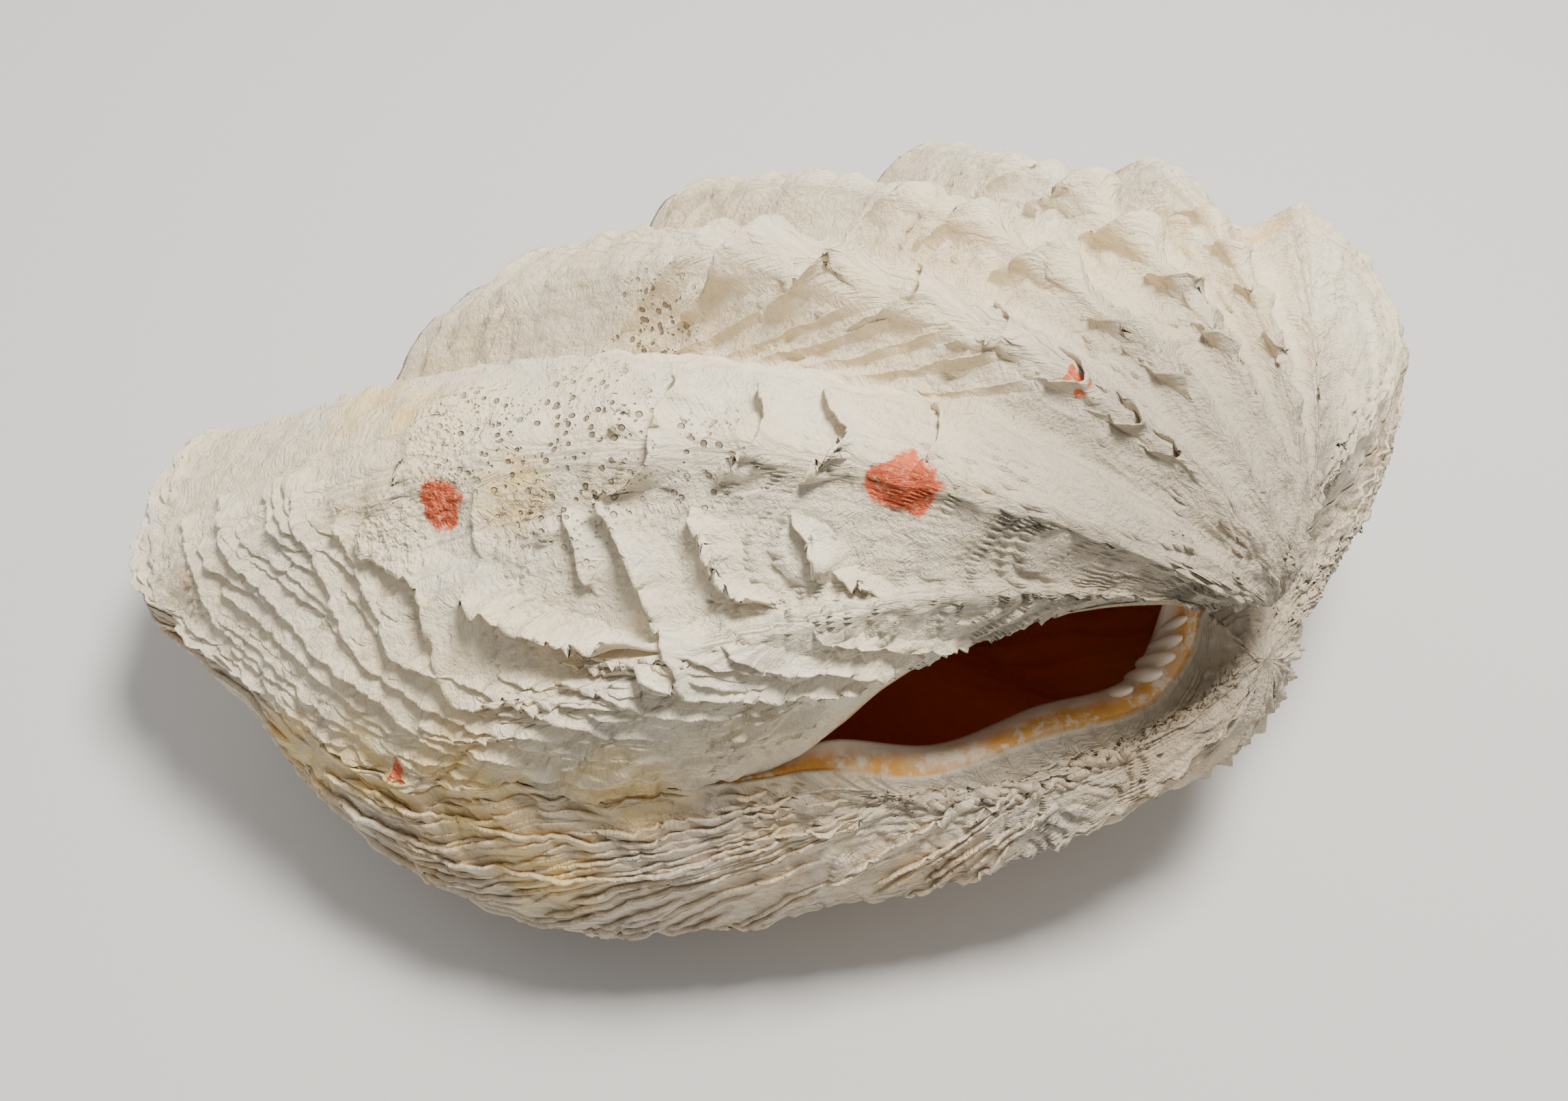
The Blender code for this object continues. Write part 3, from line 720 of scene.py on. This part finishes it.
def shell_material(name, cream, warm, grey, dirt_and_shade):
    n = Nodes(name)
    growth, around = n.attribute("growth"), n.attribute("around")
    hollow, inside = n.attribute("hollow"), n.attribute("inside")
    flow = n.add("ShaderNodeCombineXYZ", {0: n.math("MULTIPLY", growth, 0.9), 1: n.math("MULTIPLY", around, 0.05)})
    flow = flow.outputs[0]
    ragged = n.wandering(190.0, 4.5)
    loose = n.wandering(70.0, 7.0)

    # colour: cream, warmer and greyer by place and along the growth lines
    colour = n.mix(n.ramp(n.noise(n.place, 22.0, 4.0), 0.36, 0.66), cream + (1.0,), warm + (1.0,))
    colour = n.mix(n.ramp(n.noise(flow, 0.35, 4.0), 0.45, 0.75, 0.0, 0.55), colour, grey + (1.0,))
    # painted highlights: pale cream flecks scattered by noise over the surface
    colour = n.mix(n.ramp(n.noise(n.place, 160.0, 5.0), 0.5, 0.75, 0.0, 0.45), colour, (0.85, 0.785, 0.65, 1.0))
    # painted shade: the part round the umbo is darkened towards brown-grey, standing in for the shade that lies there
    colour = n.mix(n.math("MULTIPLY", n.near(loose, UMBO_SHADE, 0.5), 0.75), colour, (0.37, 0.31, 0.235, 1.0))
    tint = n.math("MULTIPLY", n.near(loose, YELLOW, 0.6), n.ramp(n.noise(n.place, 190.0, 4.0), 0.28, 0.62, 0.15, 0.9))
    colour = n.mix(tint, colour, (0.88, 0.65, 0.28, 1.0))
    yellowed = n.math("MULTIPLY", n.near(loose, PITTED, 0.6), n.ramp(n.noise(n.place, 150.0, 4.0), 0.3, 0.65, 0.2, 0.75))
    colour = n.mix(yellowed, colour, (0.90, 0.745, 0.49, 1.0))
    # dirt and painted shade: darker brown in the recesses of the relief and under the plates' free edges
    soil_and_shade = n.math("MULTIPLY", n.ramp(hollow, 0.12, 1.1), n.ramp(n.noise(n.place, 120.0, 4.0), 0.25, 0.7, 0.35, 1.0))
    colour = n.mix(n.math("MULTIPLY", soil_and_shade, 0.45), colour, dirt_and_shade + (1.0,))

    # borings, thick in some places and rare elsewhere
    cells = n.add("ShaderNodeTexVoronoi", {"Vector": n.place, "Scale": 390.0}).outputs["Distance"]
    small = n.add("ShaderNodeTexVoronoi", {"Vector": n.place, "Scale": 800.0}).outputs["Distance"]
    here = n.near(loose, BORED, 0.5)
    holes = n.math("MULTIPLY", n.ramp(cells, 0.31, 0.21), n.ramp(n.noise(n.place, 90.0, 2.0), 0.35, 0.48))
    pins = n.math("MULTIPLY", n.ramp(small, 0.26, 0.16), n.ramp(n.noise(n.place, 130.0, 2.0), 0.48, 0.56))
    borings = n.math("MULTIPLY", n.math("MAXIMUM", holes, pins), here)
    # painted shade: the boring holes are coloured dark brown for the shade inside them
    colour = n.mix(n.math("MULTIPLY", borings, 0.85), colour, (0.21, 0.145, 0.085, 1.0))

    # coralline crust, thin at its edges and worn through in places
    crust = n.math("MULTIPLY", n.near(ragged, CRUST, 0.12), n.ramp(n.noise(n.place, 620.0, 4.0), 0.30, 0.46, 0.3, 1.0))
    red = n.mix(n.noise(n.place, 480.0, 4.0), (0.60, 0.075, 0.022, 1.0), (0.74, 0.19, 0.085, 1.0))
    colour = n.mix(crust, colour, red)
    colour = n.mix(n.math("MULTIPLY", n.near(ragged, PALE_CRUST, 0.4), 0.6), colour, (0.72, 0.38, 0.26, 1.0))

    # the porcelain lip and the orange inside
    lip = n.ramp(inside, 0.0, 0.05)
    colour = n.mix(lip, colour, n.mix(n.noise(n.place, 60.0, 2.0), (0.86, 0.78, 0.64, 1.0), (0.84, 0.72, 0.55, 1.0)))
    wavy = n.math("ADD", inside, n.math("MULTIPLY", n.math("SUBTRACT", n.noise(n.place, 130.0, 4.0), 0.5), 0.16))
    band = n.math("MULTIPLY", n.ramp(inside, 0.005, 0.03), n.ramp(wavy, 0.26, 0.10))
    streaks = n.ramp(n.noise(ragged, 210.0, 6.0, 0.65), 0.36, 0.54, 0.1, 1.0)
    broad = n.ramp(n.noise(n.place, 70.0, 3.0), 0.30, 0.50, 0.55, 1.0)
    stained = n.math("MULTIPLY", band, n.math("MULTIPLY", streaks, broad))
    orange = n.mix(n.noise(n.place, 330.0, 4.0), (0.60, 0.24, 0.035, 1.0), (0.82, 0.44, 0.10, 1.0))
    colour = n.mix(stained, colour, orange)
    deep = n.mix(n.ramp(inside, 0.42, 0.62), (0.92, 0.40, 0.10, 1.0), (1.0, 0.22, 0.03, 1.0))
    colour = n.mix(n.ramp(inside, 0.29, 0.40), colour, deep)
    n.tree.links.new(colour, n.shader.inputs["Base Color"])

    roughness = n.math("SUBTRACT", n.ramp(n.noise(n.place, 240.0, 3.0), 0.3, 0.7, 0.74, 0.92), n.ramp(inside, 0.0, 0.08, 0.0, 0.38))
    n.tree.links.new(roughness, n.shader.inputs["Roughness"])

    # fine relief in mm: chalky grain, growth lines, borings and the pitted layer
    chalk = n.math("MULTIPLY", n.noise(n.place, 760.0, 4.0, 0.65), 0.62)
    lumps = n.math("MULTIPLY", n.noise(n.place, 260.0, 3.0), 0.75)
    lines = n.math("MULTIPLY", n.noise(flow, 1.15, 3.0), 0.9)
    pitted = n.math("MULTIPLY", n.math("MULTIPLY", n.near(loose, PITTED, 0.5), n.noise(n.place, 480.0, 2.0)), 2.2)
    outer = n.total(chalk, lumps, lines, pitted, n.math("MULTIPLY", borings, -1.3))
    outer = n.math("MULTIPLY", outer, n.ramp(inside, 0.04, 0.0, 0.10, 1.0))
    bump = n.add("ShaderNodeBump", {"Height": outer, "Distance": 0.001, "Strength": 1.0})
    n.tree.links.new(bump.outputs[0], n.shader.inputs["Normal"])
    n.shader.inputs["Specular IOR Level"].default_value = 0.35
    return n.material


def place_camera():
    target = HINGE_PLACE + (np.array([-87.6, 27.3, -72.0]) + np.array([0.0, 0.0, 53.0])) * MM
    elevation = np.radians(55.0)
    towards = Vector((0.0, np.cos(elevation), -np.sin(elevation)))
    camera = bpy.data.objects.new("camera", bpy.data.cameras.new("camera"))
    bpy.context.scene.collection.objects.link(camera)
    camera.location = Vector(target) - towards * 0.422
    camera.rotation_euler = towards.to_track_quat("-Z", "Y").to_euler()
    camera.data.sensor_width = 36.0
    camera.data.lens = 43.456
    bpy.context.scene.camera = camera


def area_light(name, place, size, power, colour):
    lamp = bpy.data.objects.new(name, bpy.data.lights.new(name, "AREA"))
    bpy.context.scene.collection.objects.link(lamp)
    lamp.location = place
    lamp.rotation_euler = (Vector((0.0, 0.0, 0.05)) - Vector(place)).to_track_quat("-Z", "Y").to_euler()
    lamp.data.size = size
    lamp.data.energy = power
    lamp.data.color = colour


def place_stage():
    bpy.ops.mesh.primitive_plane_add(size=6.0, location=(0.0, 0.0, -0.0002))
    floor = bpy.context.object
    floor.name = "floor"
    material = bpy.data.materials.new("floor_pale")
    material.use_nodes = True
    material.node_tree.nodes["Principled BSDF"].inputs["Base Color"].default_value = (0.62, 0.61, 0.60, 1.0)
    material.node_tree.nodes["Principled BSDF"].inputs["Roughness"].default_value = 0.9
    floor.data.materials.append(material)
    floor.select_set(False)
    area_light("key", (0.22, 0.07, 0.95), 0.26, 18.5, (1.0, 0.96, 0.885))
    area_light("fill", (-0.7, 0.7, 0.6), 1.0, 4.0, (1.0, 0.98, 0.95))
    world = bpy.data.worlds.new("studio")
    bpy.context.scene.world = world
    world.use_nodes = True
    world.node_tree.nodes["Background"].inputs["Color"].default_value = (0.95, 0.97, 1.0, 1.0)
    world.node_tree.nodes["Background"].inputs["Strength"].default_value = 0.42


UPPER_BANDS = [
    #  u from, to, s from, to, every, height, depth, length in u
    (0.135, 0.25, 0.70, 0.985, 0.009, 2.0, 9, 0.08),
    (0.125, 0.24, 0.84, 0.996, 0.006, 1.6, 6, 0.035),
    (0.23, 0.37, 0.80, 0.985, 0.013, 1.4, 9, 0.12),
    (0.45, 0.62, 0.58, 0.97, 0.024, 1.8, 10, 0.10),
    (0.55, 0.72, 0.30, 0.97, 0.024, 1.5, 8, 0.09),
    (0.68, 0.84, 0.30, 0.97, 0.024, 1.4, 7, 0.08),
    (0.80, 0.93, 0.30, 0.97, 0.030, 1.2, 6, 0.08),
    (0.035, 0.125, 0.45, 0.78, 0.014, 0.7, 4, 0.030),
]
LOWER_BANDS = [
    (0.12, 0.27, 0.80, 0.985, 0.010, 1.8, 8, 0.12),
    (0.12, 0.26, 0.85, 0.998, 0.007, 1.6, 5, 0.040),
    (0.20, 0.36, 0.70, 0.98, 0.018, 1.8, 9, 0.11),
    (0.12, 0.30, 0.35, 0.80, 0.024, 1.8, 8, 0.10),
    (0.01, 0.13, 0.42, 0.95, 0.010, 0.8, 4, 0.050),
    (0.34, 0.52, 0.40, 0.97, 0.030, 1.8, 9, 0.10),
    (0.50, 0.68, 0.35, 0.97, 0.030, 1.6, 8, 0.10),
    (0.66, 0.84, 0.30, 0.97, 0.028, 1.6, 7, 0.09),
    (0.82, 0.97, 0.30, 0.97, 0.022, 1.2, 6, 0.07),
]

cream = shell_material("shell_cream", (0.83, 0.735, 0.56), (0.84, 0.70, 0.47), (0.67, 0.60, 0.485), (0.56, 0.44, 0.28))
tan = shell_material("shell_tan", (0.72, 0.63, 0.50), (0.74, 0.58, 0.37), (0.58, 0.52, 0.45), (0.45, 0.31, 0.16))

upper = Surface("upper")
lower = Surface("lower")
pieces = {
    "upper": [valve_piece(upper),
              joined("upper_ledges", [ledge(upper, p[0], *p[1:5], **p[5], seed=float(i)) for i, p in enumerate(UPPER_LEDGES)]),
              joined("upper_scales", scale_plates(upper)),
              joined("upper_layers", grown_ledges(upper, 3, UPPER_BANDS)), joined("upper_frills", frills(upper, 5, 60))],
    "lower": [valve_piece(lower), lip_teeth(lower),
              joined("lower_ledges", [ledge(lower, p[0], *p[1:5], **p[5], seed=50.0 + i) for i, p in enumerate(LOWER_LEDGES)]),
              joined("lower_layers", grown_ledges(lower, 8, LOWER_BANDS)), joined("lower_frills", frills(lower, 6, 50))],
}
for valve, slot, material in (("upper", "shell_cream", cream), ("lower", "shell_tan", tan)):
    for piece in pieces[valve]:
        piece.data.materials.clear()
        piece.data.materials.append(material)
        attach(piece, "root")
        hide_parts(valve + "_valve")
        print(piece.name, len(piece.data.polygons), max(v.co.z for v in piece.data.vertices))

place_stage()
place_camera()
